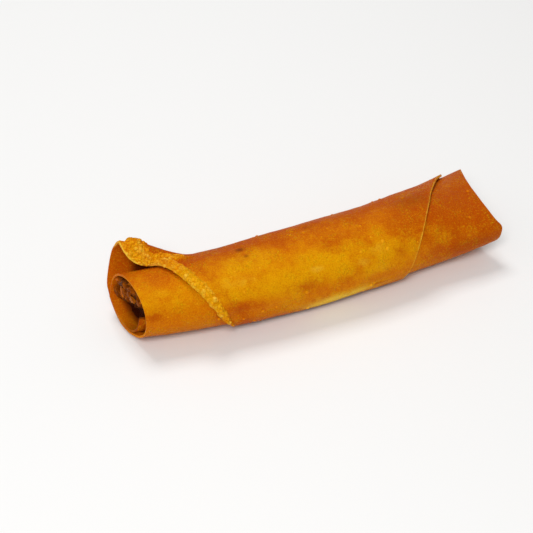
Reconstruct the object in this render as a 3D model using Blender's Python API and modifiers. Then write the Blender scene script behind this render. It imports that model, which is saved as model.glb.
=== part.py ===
"""Fried spring roll: one sheet of pastry rolled round a filling, open at both ends.

Metres, +Z up. The roll lies along X on its flat underside. Angles round the roll are in
degrees, 0 at the back (+Y), 90 on top, 180 at the front (-Y) and 270 underneath. The sheet
is a spiral: its angle runs on from START_ANGLE, tucked inside, to END_ANGLE, the loose edge.
"""
import math

import bmesh
import bpy

# Sheet of pastry
SHEET_THICKNESS = 0.0010
SHEET_PITCH = 0.0013        # from one turn to the next, which leaves 0.3 mm between them
START_ANGLE = -526.0
END_ANGLE = 230.0
TUCK_ANGLE = 45.0
TUCK_DEPTH = 0.0022

# Body of the roll, to the middle of the sheet
LEFT_END = -0.0825
RIGHT_END = 0.0810
HALF_SPAN = 0.079           # the length over which the taper and the bend are given
HALF_WIDTH = 0.0178
HALF_HEIGHT = 0.0149
AXIS_HEIGHT = 0.0134
SECTION_POWER = 2.15
TAPER = 0.03
LEFT_NARROWING = 0.09
LEFT_NARROWS_FROM = 0.2     # share of the span, as for the right
RIGHT_WIDENING = 0.0040
RIGHT_FLATTENING = 0.0042
RIGHT_CHANGES_FROM = 0.55
BEND = 0.0066
UNDERSIDE = -90.0

# Left mouth, which slants: its front stands back from its rear
MOUTH_REAR_ANGLE = -25.0
MOUTH_SLANT = 0.0052
MOUTH_CURVE = 0.6

# Collar, where the last turn stands off at its upper left corner
COLLAR_ANGLE = 48.0
COLLAR_HEIGHT = 0.0128
COLLAR_LENGTH = 0.031
COLLAR_LIP = 0.0035         # of its length that stands off in full
COLLAR_BACK_WIDTH = 39.5
COLLAR_FRONT_WIDTH = 5.6
COLLAR_SETBACK = 0.0064
COLLAR_STARTS = -10.0       # angle at which its edge leaves the mouth
COLLAR_CLIMB = 60.0

# Loose left edge, from the collar down to the front
STEP_STARTS = 51.0
STEP_ANGLE = 16.8
LEFT_EDGE_STEP = 0.0113
RUN_STARTS = 68.0
RUN_CURVE = 0.9
LEFT_EDGE_RUN = 0.0222
BAND_RISE = 0.0012
BAND_WIDTH = 0.0060
BAND_NARROWING = 0.6
BAND_END_ANGLE = 30.0       # over which the band fades at either end

# Right end and the last turn's right edge
EAR_OFFSET = 0.0045         # how far the front ear stands back from the rear one
EAR_HOLLOW = 0.0050
EAR_CURVE = 1.6
RIGHT_CORNER = 0.0130       # how far the last turn's upper corner stands back
RIGHT_EDGE_START = 0.0041
RIGHT_EDGE_RUN = 0.085
RIGHT_EDGE_BOW = 0.0387
RIGHT_EDGE_LEAVES = -10.0   # angle at which the last turn's edge leaves the mouth
RIGHT_EDGE_TURN = 25.0

# Filling
FILLING_CLEARANCE = 0.0003
FILLING_LEFT = -0.0755
FILLING_RIGHT = 0.0640
FILLING_BLUNTNESS = 0.35
LUMP_HEIGHT = 0.0010
LUMPS_ROUND = 5.0
LUMP_TWIST = 260.0
LUMPS_ALONG = 420.0
TUCK_HOLLOW = (200.0, 30.0, 35.0)   # angle and widths of the room left for the tucked edge

# Mesh
ANGLE_STEP = 9.0
COLLAR_ROWS = (32.0, 95.0)  # between these angles the rows stand twice as close
SHEET_COLUMNS = 22
COLUMN_CROWDING = 0.11      # how far the columns gather towards both edges
FILLING_SEGMENTS = 30
FILLING_RINGS = 18
CREASE_ANGLE = 50.0

PASTRY_COLOUR = (0.60, 0.24, 0.02, 1.0)
PASTRY_ROUGHNESS = 0.5
FILLING_COLOUR = (0.22, 0.08, 0.02, 1.0)
FILLING_ROUGHNESS = 0.6


def smooth(value):
    """Ease from 0 to 1."""
    value = min(max(value, 0.0), 1.0)
    return value * value * (3.0 - 2.0 * value)


def bell(value, centre, width_before, width_after):
    """Bump of height 1 with its own width on each side."""
    width = width_before if value < centre else width_after
    return math.exp(-((value - centre) / width) ** 2)


def rounded(value):
    """Coordinate of the slightly squared oval section."""
    return math.copysign(abs(value) ** (2.0 / SECTION_POWER), value)


def section(x):
    """Half width, half height and sideways place of the roll at x."""
    s = x / HALF_SPAN
    left = smooth((-s - LEFT_NARROWS_FROM) / (1.0 - LEFT_NARROWS_FROM))
    right = smooth((s - RIGHT_CHANGES_FROM) / (1.0 - RIGHT_CHANGES_FROM))
    half_width = HALF_WIDTH * (1.0 + TAPER * s - LEFT_NARROWING * left) + RIGHT_WIDENING * right
    half_height = HALF_HEIGHT * (1.0 + TAPER * s - LEFT_NARROWING * left)
    half_height -= RIGHT_FLATTENING * right
    return half_width, half_height, BEND * s * s


def depth_at(angle):
    """How far the spiral lies inside its loose edge."""
    return (END_ANGLE - angle) / 360.0 * SHEET_PITCH


def left_edge(angle):
    """X of the sheet's left edge: mouth rim, collar, then the slanting loose edge."""
    if angle < MOUTH_REAR_ANGLE:
        slant = (1.0 - math.cos(math.radians(angle - MOUTH_REAR_ANGLE))) / 2.0
        return LEFT_END + MOUTH_SLANT * slant ** MOUTH_CURVE
    if angle < COLLAR_ANGLE:
        return LEFT_END + COLLAR_SETBACK * smooth((angle - COLLAR_STARTS) / COLLAR_CLIMB)
    step = LEFT_EDGE_STEP * smooth((angle - STEP_STARTS) / STEP_ANGLE)
    down = max(angle - RUN_STARTS, 0.0) / (END_ANGLE - RUN_STARTS)
    return LEFT_END + COLLAR_SETBACK + step + LEFT_EDGE_RUN * down ** RUN_CURVE


def right_edge(angle):
    """X of the sheet's right edge: two ears with a hollow between, then the loose edge."""
    turn = math.radians(angle)
    ears = EAR_OFFSET * (1.0 - math.cos(turn)) / 2.0
    ears += EAR_HOLLOW * abs(math.sin(turn)) ** EAR_CURVE
    full = RIGHT_EDGE_LEAVES + RIGHT_EDGE_TURN
    slant = max(angle - full, 0.0) / (END_ANGLE - full)
    loose = RIGHT_EDGE_START + RIGHT_EDGE_RUN * slant - RIGHT_EDGE_BOW * slant ** 2
    loose = max(loose, RIGHT_CORNER)
    share = smooth((angle - RIGHT_EDGE_LEAVES) / RIGHT_EDGE_TURN)
    return RIGHT_END - ears * (1.0 - share) - loose * share


def collar_rise(x, angle):
    """How far the last turn stands off the roll at its upper left corner."""
    along = 1.0 - smooth((x - LEFT_END - COLLAR_LIP) / COLLAR_LENGTH)
    return COLLAR_HEIGHT * along * bell(angle, COLLAR_ANGLE, COLLAR_BACK_WIDTH, COLLAR_FRONT_WIDTH)


def band_rise(x, angle):
    """The raised, curled strip along the last turn's left edge."""
    if angle < COLLAR_ANGLE:
        return 0.0
    down = (angle - RUN_STARTS) / (END_ANGLE - RUN_STARTS)
    across = (x - left_edge(angle)) / (BAND_WIDTH * (1.0 - BAND_NARROWING * down))
    ends = smooth((angle - COLLAR_ANGLE) / BAND_END_ANGLE)
    ends *= smooth((END_ANGLE - angle) / BAND_END_ANGLE)
    return BAND_RISE * ends * (1.0 - smooth(across))


def tuck_depth(angle):
    """How far the first edge of the sheet folds in from the wall."""
    return TUCK_DEPTH * (1.0 - smooth((angle - START_ANGLE) / TUCK_ANGLE))


def sheet_point(x, angle):
    """Point of the sheet's middle surface."""
    half_width, half_height, sideways = section(x)
    inset = depth_at(angle) + tuck_depth(angle) - collar_rise(x, angle) - band_rise(x, angle)
    turn = math.radians(angle)
    y = sideways + (half_width - inset) * rounded(math.cos(turn))
    z = AXIS_HEIGHT + (half_height - inset) * rounded(math.sin(turn))
    turns_below = max(round((UNDERSIDE - angle) / 360.0), 0)
    floor = SHEET_THICKNESS / 2.0 + SHEET_PITCH * turns_below
    return x, y, max(z, floor)


def column_share(column):
    """Place of a column across the sheet, with more of them near both ends."""
    even = column / SHEET_COLUMNS
    return even - COLUMN_CROWDING * math.sin(2.0 * math.pi * even)


def material(name, colour, roughness):
    """Principled material."""
    made = bpy.data.materials.new(name)
    made.use_nodes = True
    shader = made.node_tree.nodes["Principled BSDF"]
    shader.inputs["Base Color"].default_value = colour
    shader.inputs["Roughness"].default_value = roughness
    shader.inputs["Metallic"].default_value = 0.0
    return made


def finish(name, mesh, collection, surface):
    """Object for a mesh, shaded smooth, with its material."""
    mesh.materials.append(surface)
    mesh.shade_smooth()
    mesh.set_sharp_from_angle(angle=math.radians(CREASE_ANGLE))
    made = bpy.data.objects.new(name, mesh)
    collection.objects.link(made)
    return made


def row_angles():
    """Angles of the rows, from the tucked edge to the loose one."""
    angles = [START_ANGLE]
    while angles[-1] < END_ANGLE - ANGLE_STEP / 4.0:
        fine = COLLAR_ROWS[0] < angles[-1] < COLLAR_ROWS[1]
        angles.append(angles[-1] + (ANGLE_STEP / 2.0 if fine else ANGLE_STEP))
    return angles


def make_wrapper(collection):
    """The sheet, lofted round its spiral and given its thickness."""
    build = bmesh.new()
    grid = []
    for angle in row_angles():
        left, right = left_edge(angle), right_edge(angle)
        places = [left + (right - left) * column_share(c) for c in range(SHEET_COLUMNS + 1)]
        grid.append([build.verts.new(sheet_point(x, angle)) for x in places])
    for low, high in zip(grid, grid[1:]):
        for c in range(SHEET_COLUMNS):
            build.faces.new((low[c], high[c], high[c + 1], low[c + 1]))
    mesh = bpy.data.meshes.new("wrapper")
    build.to_mesh(mesh)
    build.free()
    surface = material("pastry", PASTRY_COLOUR, PASTRY_ROUGHNESS)
    made = finish("wrapper", mesh, collection, surface)
    wall = made.modifiers.new("thickness", "SOLIDIFY")
    wall.thickness = SHEET_THICKNESS
    wall.offset = 0.0
    return made


def filling_point(across, up, along):
    """Point of the filling for a point of the unit sphere."""
    turn = math.atan2(up, across)
    ring = min(math.hypot(across, up), 1.0)
    x = (FILLING_LEFT + FILLING_RIGHT) / 2.0 + (FILLING_RIGHT - FILLING_LEFT) / 2.0 * along
    half_width, half_height, sideways = section(x)
    inset = depth_at(START_ANGLE) + SHEET_THICKNESS / 2.0 + FILLING_CLEARANCE
    inset += (TUCK_DEPTH + SHEET_THICKNESS) * bell(math.degrees(turn) % 360.0, *TUCK_HOLLOW)
    wave = math.sin(LUMPS_ROUND * turn + LUMP_TWIST * x) * math.sin(LUMPS_ALONG * x)
    inset += LUMP_HEIGHT * (1.0 + wave) / 2.0
    blunt = ring ** FILLING_BLUNTNESS
    y = sideways + blunt * (half_width - inset) * rounded(math.cos(turn))
    z = AXIS_HEIGHT + blunt * (half_height - inset) * rounded(math.sin(turn))
    return x, y, z


def make_filling(collection):
    """The packed filling, which runs through the roll and stops short of both mouths."""
    build = bmesh.new()
    bmesh.ops.create_uvsphere(build, u_segments=FILLING_SEGMENTS, v_segments=FILLING_RINGS, radius=1.0)
    for vertex in build.verts:
        across, up, along = vertex.co
        vertex.co = filling_point(across, up, along)
    mesh = bpy.data.meshes.new("filling")
    build.to_mesh(mesh)
    build.free()
    surface = material("filling", FILLING_COLOUR, FILLING_ROUGHNESS)
    return finish("filling", mesh, collection, surface)


def stand_on_origin(objects):
    """Bring the centre of the roll's footprint to the origin."""
    bpy.context.view_layer.update()
    graph = bpy.context.evaluated_depsgraph_get()
    corners = [corner for item in objects for corner in item.evaluated_get(graph).bound_box]
    middle = [(min(c[i] for c in corners) + max(c[i] for c in corners)) / 2.0 for i in range(2)]
    for item in objects:
        for vertex in item.data.vertices:
            vertex.co.x -= middle[0]
            vertex.co.y -= middle[1]


def main():
    """Clear the scene and make the roll."""
    for old in list(bpy.data.objects):
        bpy.data.objects.remove(old, do_unlink=True)
    roll = bpy.data.collections.new("spring_roll")
    bpy.context.scene.collection.children.link(roll)
    stand_on_origin([make_wrapper(roll), make_filling(roll)])


main()
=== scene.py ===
"""Fried spring roll: the finished model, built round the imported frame.

The roll is one sheet of fried pastry wound in a spiral round its filling. Lengths are in
metres and +Z is up. The roll lies along X, open at the left end and pinched flat at the
right. Angles round it are in degrees: 0 at the back (+Y), 90 on top, 180 at the front and
270 underneath. An angle along the sheet runs on past a full turn, from the edge tucked
inside to the loose edge under the front.
"""
import logging
import math
from dataclasses import dataclass, field
from enum import Enum

import bpy
import numpy as np
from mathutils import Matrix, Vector, noise


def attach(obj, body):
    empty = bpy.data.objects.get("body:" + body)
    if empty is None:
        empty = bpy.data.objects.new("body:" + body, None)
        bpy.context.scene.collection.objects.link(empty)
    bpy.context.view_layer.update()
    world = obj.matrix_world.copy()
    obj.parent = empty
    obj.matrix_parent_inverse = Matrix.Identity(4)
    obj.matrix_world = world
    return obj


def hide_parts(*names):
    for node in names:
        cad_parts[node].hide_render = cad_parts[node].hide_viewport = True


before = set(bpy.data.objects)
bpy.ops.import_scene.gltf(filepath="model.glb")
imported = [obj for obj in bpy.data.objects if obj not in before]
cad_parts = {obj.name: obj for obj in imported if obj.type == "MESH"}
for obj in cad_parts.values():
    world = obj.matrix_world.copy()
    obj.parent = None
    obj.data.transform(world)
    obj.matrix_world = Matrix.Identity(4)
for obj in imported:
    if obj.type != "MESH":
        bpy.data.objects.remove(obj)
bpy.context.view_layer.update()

log = logging.getLogger("spring_roll")

Array = np.ndarray
Colour = tuple[float, float, float]

# Colours mixed over the finishes' own, with their alpha
SPECK = (0.84, 0.42, 0.006, 1.0)
# Dark brown for burnt spots, and also for the painted shadow and painted shade in the spot mask
BURNT_AND_SHADOW = (0.17, 0.035, 0.002, 1.0)
SHADE_IN_ROLL = (0.09, 0.010, 0.0008, 1.0)
SHADE_IN_FILLING = (0.035, 0.004, 0.001, 1.0)


def smooth(value: Array) -> Array:
    """Ease each value from 0 to 1."""
    value = np.clip(value, 0.0, 1.0)
    return value * value * (3.0 - 2.0 * value)


def bell(value: Array, centre: float, before: float, after: float) -> Array:
    """Bump of height 1 round a centre, with a width for each side."""
    width = np.where(value < centre, before, after)
    return np.exp(-(((value - centre) / width) ** 2))


def hump(distance: Array, width: float) -> Array:
    """Even bump of height 1 where a distance is 0."""
    return np.exp(-((distance / width) ** 2))


def eased(value: Array, start: float, length: float) -> Array:
    """Ease from 0 at a start to 1 a length further on."""
    return smooth((value - start) / length)


def turn_from(angle: Array, centre: float) -> Array:
    """Signed angle from a centre, the short way round."""
    return (angle - centre + 180.0) % 360.0 - 180.0


class Tint(Enum):
    """Colour marks on the sheet, each kept as an attribute of the mesh: browning from frying, with
    painted shade in red and spot and painted highlight in pale.
    """

    RED = "red"
    GOLD = "gold"
    PALE = "pale"
    SPOT = "spot"


@dataclass(frozen=True)
class Blotch:
    """A soft patch of colour on the sheet.

    Args:
        tint: which colour.
        x: its place along the roll.
        angle: its place round the roll.
        length: half its length along the roll.
        width: half its width round the roll.
        strength: from 0 to 1.
    """

    tint: Tint
    x: float
    angle: float
    length: float
    width: float
    strength: float


@dataclass(frozen=True)
class Fold:
    """A low ridge, or with a negative height a dent, pressed into the sheet.

    Args:
        x: its place along the roll.
        angle: its place round the roll.
        length: half its length.
        width: half its width.
        height: how far it stands out.
        slant: the angle of its length from the roll's own, in degrees.
    """

    x: float
    angle: float
    length: float
    width: float
    height: float
    slant: float = 0.0


@dataclass(frozen=True)
class SheetShape:
    """The spiral sheet's form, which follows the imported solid's sizes."""

    # The spiral, its room above the floor, and the end tucked inside, which curls at the mouth
    thickness: float = 0.0009
    pitch: float = 0.0013
    start: float = -526.0
    end: float = 230.0
    clearance: float = 0.0004
    tuck_angle: float = 62.0
    tuck_depth: float = 0.0022
    tuck_curl: float = 0.0034
    tuck_length: float = 0.026

    # The roll's length, its section, and how that changes along it
    left: float = -0.0825
    right: float = 0.0810
    half_span: float = 0.079
    half_width: float = 0.0178
    half_height: float = 0.0149
    axis_height: float = 0.0134
    power: float = 2.15
    taper: float = 0.03
    left_narrowing: float = 0.09
    left_narrows_from: float = 0.2
    right_widening: float = 0.0040
    right_flattening: float = 0.0042
    right_changes_from: float = 0.55
    bend: float = 0.0066
    unevenness: float = 0.00028

    # The slanting mouth, which reaches further out low down
    mouth_rear: float = -25.0
    mouth_slant: float = 0.0052
    mouth_curve: float = 0.6
    mouth_swell: float = 0.0014
    mouth_swell_angle: float = -85.0
    mouth_swell_width: float = 40.0

    # The collar that stands off at the upper left, and its dipping tip
    collar_angle: float = 48.0
    collar_height: float = 0.0128
    collar_length: float = 0.031
    collar_lip: float = 0.0035
    collar_back: float = 36.5
    collar_front: float = 5.6
    collar_setback: float = 0.0064
    collar_dip: float = 0.0020
    collar_dip_length: float = 0.0036
    collar_dip_back: float = 14.0
    collar_dip_front: float = 5.0
    collar_starts: float = -10.0
    collar_climb: float = 60.0

    # The loose left edge, from the collar to under the front
    step_starts: float = 49.8
    step_angle: float = 16.8
    edge_step: float = 0.0113
    run_starts: float = 68.0
    run_curve: float = 0.9
    edge_run: float = 0.0222

    # The blistered band along that edge, wider at its top, and where it fades in and out
    band_height: float = 0.0013
    band_width: float = 0.0055
    band_narrowing: float = 0.76
    band_flare: float = 0.95
    band_flare_starts: float = 56.0
    band_flare_angle: float = 18.0
    band_stretch: float = 1.9
    band_starts: float = 34.0
    band_start_angle: float = 14.0
    band_end_angle: float = 9.0
    band_top_reach: float = 0.026
    band_top_fade: float = 0.006
    band_top_ends: float = 60.0
    band_top_angle: float = 8.0
    trough_depth: float = 0.8
    lip_height: float = 0.4
    lip_ends: float = 52.0
    lip_angle: float = 14.0

    # The right end: two ears with a hollow between, and a bump on the front ear's corner
    ear_offset: float = 0.0045
    ear_hollow: float = 0.0050
    ear_curve: float = 1.6
    ear_corner: float = 0.0013
    ear_corner_angle: float = 163.0
    ear_corner_width: float = 13.0

    # The loose right edge and the flap that it ends
    right_corner: float = 0.0130
    right_edge_start: float = 0.0041
    right_edge_run: float = 0.085
    right_edge_bow: float = 0.0387
    right_edge_leaves: float = -10.0
    right_edge_turn: float = 25.0
    flap_reach: float = 0.006
    flap_edge: float = 0.00015
    flap_edge_starts: float = 20.0
    flap_edge_angle: float = 20.0
    flap_lift: float = 0.0008
    flap_lift_angle: float = 50.0
    flap_lift_back: float = 12.0
    flap_lift_front: float = 18.0

    # The cut corner under the front: its place, half its length, how much and how far back
    end_corner: float = -0.0450
    end_corner_length: float = 0.0050
    end_corner_cut: float = 15.0
    end_corner_angle: float = 70.0

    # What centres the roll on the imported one
    middle: float = -0.0008
    sideways: float = 0.00544

    def rounded(self, value: Array) -> Array:
        """Coordinate of the slightly squared oval section."""
        return np.sign(value) * np.abs(value) ** (2.0 / self.power)

    def section(self, x: Array) -> tuple[Array, Array, Array]:
        """Size of the roll along its length.

        Args:
            x: places along the roll.

        Returns:
            Half width, half height and sideways place at each.
        """
        s = x / self.half_span
        left = eased(-s, self.left_narrows_from, 1.0 - self.left_narrows_from)
        right = eased(s, self.right_changes_from, 1.0 - self.right_changes_from)
        slim = 1.0 + self.taper * s - self.left_narrowing * left
        half_width = self.half_width * slim + self.right_widening * right
        half_height = self.half_height * slim - self.right_flattening * right
        return half_width, half_height, self.bend * s * s

    def trimmed(self, x: Array, angle: Array) -> Array:
        """Draw the sheet back where its loose corner under the front is cut.

        Args:
            x: places along the roll, before it is centred.
            angle: angles along the sheet.

        Returns:
            The angles with the cut taken off.
        """
        near = hump(x - self.end_corner, self.end_corner_length)
        late = eased(angle - self.end, -self.end_corner_angle, self.end_corner_angle)
        return angle - self.end_corner_cut * near * late

    def depth(self, angle: Array) -> Array:
        """How far the spiral lies inside its loose edge."""
        return (self.end - angle) / 360.0 * self.pitch

    def mouth_edge(self, angle: Array) -> Array:
        """Find the slanting mouth.

        Args:
            angle: angles along the sheet.

        Returns:
            The mouth's X at each.
        """
        slant = (1.0 - np.cos(np.radians(angle - self.mouth_rear))) / 2.0
        low = hump(turn_from(angle, self.mouth_swell_angle), self.mouth_swell_width)
        return self.left + self.mouth_slant * slant**self.mouth_curve - self.mouth_swell * low

    def down(self, angle: Array) -> Array:
        """How far down the loose left edge an angle is, from 0 to 1."""
        return np.clip((angle - self.run_starts) / (self.end - self.run_starts), 0.0, 1.0)

    def left_edge(self, angle: Array) -> Array:
        """Find the sheet's left edge: mouth rim, collar, then the slanting loose edge.

        Args:
            angle: angles along the sheet.

        Returns:
            The edge's X at each.
        """
        climb = eased(angle, self.collar_starts, self.collar_climb)
        collar = self.left + self.collar_setback * climb
        step = self.edge_step * eased(angle, self.step_starts, self.step_angle)
        run = self.edge_run * self.down(angle) ** self.run_curve
        loose = self.left + self.collar_setback + step + run
        edge = np.where(angle < self.collar_angle, collar, loose)
        return np.where(angle < self.mouth_rear, self.mouth_edge(angle), edge)

    def right_edge(self, angle: Array) -> Array:
        """Find the sheet's right edge: two ears with a hollow between, then the loose edge.

        Args:
            angle: angles along the sheet.

        Returns:
            The edge's X at each.
        """
        turn = np.radians(angle)
        corner = hump(turn_from(angle, self.ear_corner_angle), self.ear_corner_width)
        ears = self.ear_offset * (1.0 - np.cos(turn)) / 2.0
        ears = ears + self.ear_hollow * np.abs(np.sin(turn)) ** self.ear_curve
        ears = ears - self.ear_corner * corner
        full = self.right_edge_leaves + self.right_edge_turn
        slant = np.clip(angle - full, 0.0, None) / (self.end - full)
        bow = self.right_edge_bow * slant**2
        loose = self.right_edge_start + self.right_edge_run * slant - bow
        loose = np.maximum(loose, self.right_corner)
        share = eased(angle, self.right_edge_leaves, self.right_edge_turn)
        return self.right - ears * (1.0 - share) - loose * share

    def collar_rise(self, x: Array, angle: Array) -> Array:
        """Raise the last turn off the roll at its upper left corner.

        Args:
            x: places along the roll, before it is centred.
            angle: angles along the sheet.

        Returns:
            How far it stands off at each.
        """
        along = 1.0 - eased(x - self.left, self.collar_lip, self.collar_length)
        round_it = bell(angle, self.collar_angle, self.collar_back, self.collar_front)
        tip = hump(x - self.left - self.collar_setback, self.collar_dip_length)
        near_tip = bell(angle, self.collar_angle, self.collar_dip_back, self.collar_dip_front)
        return self.collar_height * along * round_it - self.collar_dip * tip * near_tip

    def flap_rise(self, x: Array, angle: Array) -> Array:
        """Curl up the last turn's upper right corner.

        Args:
            x: places along the roll, before it is centred.
            angle: angles along the sheet.

        Returns:
            How far it stands off at each.
        """
        near = hump(self.right_edge(angle) - x, self.flap_reach)
        edge = self.flap_edge * eased(angle, self.flap_edge_starts, self.flap_edge_angle)
        lift = bell(angle, self.flap_lift_angle, self.flap_lift_back, self.flap_lift_front)
        return (self.flap_lift * lift + edge) * near

    def band_place(self, x: Array, angle: Array) -> tuple[Array, Array]:
        """Find where a place lies on the blistered band.

        Args:
            x: places along the roll, before it is centred.
            angle: angles along the sheet.

        Returns:
            The place across the band, from 0 at the edge to 1, and how full the band is.
        """
        climb = self.left_edge(angle + 5.0) - self.left_edge(angle - 5.0)
        climb = np.where(angle > self.collar_angle + 4.0, climb, 0.0)
        stretch = np.hypot(1.0, climb / (self.half_width * math.radians(10.0)))
        stretch = np.minimum(stretch, self.band_stretch)
        wide = 1.0 - eased(angle, self.band_flare_starts, self.band_flare_angle)
        flare = 1.0 + self.band_flare * wide
        narrow = 1.0 - self.band_narrowing * self.down(angle)
        width = self.band_width * flare * stretch * narrow
        far_up = eased(x - self.left, self.band_top_reach, self.band_top_fade)
        far_up = far_up * (1.0 - eased(angle, self.band_top_ends, self.band_top_angle))
        starts = eased(angle, self.band_starts, self.band_start_angle) * (1.0 - far_up)
        ends = eased(self.end - angle, 0.0, self.band_end_angle)
        return (x - self.left_edge(angle)) / width, starts * ends

    def band(self, x: Array, angle: Array) -> Array:
        """Share of the blistered band along the last turn's left edge, from 0 to 1."""
        across, full = self.band_place(x, angle)
        return full * (1.0 - eased(across, 0.8, 0.3))

    def band_rise(self, x: Array, angle: Array) -> Array:
        """Raise the band: a curled lip and a trough at its top, and one crest below.

        Args:
            x: places along the roll, before it is centred.
            angle: angles along the sheet.

        Returns:
            Its height at each.
        """
        across, full = self.band_place(x, angle)
        crest = eased(across, -0.1, 0.45) * (1.0 - eased(across, 0.62, 0.42))
        top = 1.0 - eased(angle, self.lip_ends, self.lip_angle)
        trough, lip = hump(across - 0.30, 0.15), hump(across, 0.10)
        curl = self.trough_depth * trough - self.lip_height * lip
        return self.band_height * full * (crest - top * curl)

    def swell(self, x: Array, angle: Array) -> Array:
        """Add slow, shallow unevenness, alike on every turn.

        Args:
            x: places along the roll, before it is centred.
            angle: angles along the sheet.

        Returns:
            Its height at each.
        """
        turn = np.radians(angle)
        wave = np.sin(x * 118.0 + 2.0 * turn + 0.6) * 0.5
        wave = wave + np.sin(x * 61.0 - turn + 2.1) * 0.6
        wave = wave + np.sin(x * 205.0 + 3.0 * turn + 4.0) * 0.28
        return self.unevenness * wave

    def point(self, x: Array, angle: Array, folds: list[Fold]) -> Array:
        """Points of the sheet's middle surface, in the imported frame.

        Args:
            x: places along the roll, before it is centred.
            angle: angles along the sheet.
            folds: ridges and dents.

        Returns:
            An array with a last axis of X, Y and Z.
        """
        half_width, half_height, sideways = self.section(x)
        tucked = 1.0 - eased(angle, self.start, self.tuck_angle)
        near_mouth = 1.0 - eased(x, self.left, self.tuck_length)
        inset = self.depth(angle) + tucked * (self.tuck_depth + self.tuck_curl * near_mouth)
        inset = inset - self.collar_rise(x, angle) - self.band_rise(x, angle)
        inset = inset - self.flap_rise(x, angle) - self.swell(x, angle)
        for fold in folds:
            along = x - fold.x
            across = np.radians(turn_from(angle, fold.angle)) * self.half_width
            slant = math.radians(fold.slant)
            u = along * math.cos(slant) + across * math.sin(slant)
            v = across * math.cos(slant) - along * math.sin(slant)
            ridge = np.exp(-((u / fold.length) ** 2) - (v / fold.width) ** 2)
            inset = inset - fold.height * ridge
        turn = np.radians(angle)
        y = sideways + (half_width - inset) * self.rounded(np.cos(turn)) - self.sideways
        z = self.axis_height + (half_height - inset) * self.rounded(np.sin(turn))
        turns_below = np.maximum(np.round((-90.0 - angle) / 360.0), 0.0)
        floor = self.thickness / 2.0 + self.clearance + self.pitch * turns_below
        return np.stack([x - self.middle, y, np.maximum(z, floor)], axis=-1)


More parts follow.
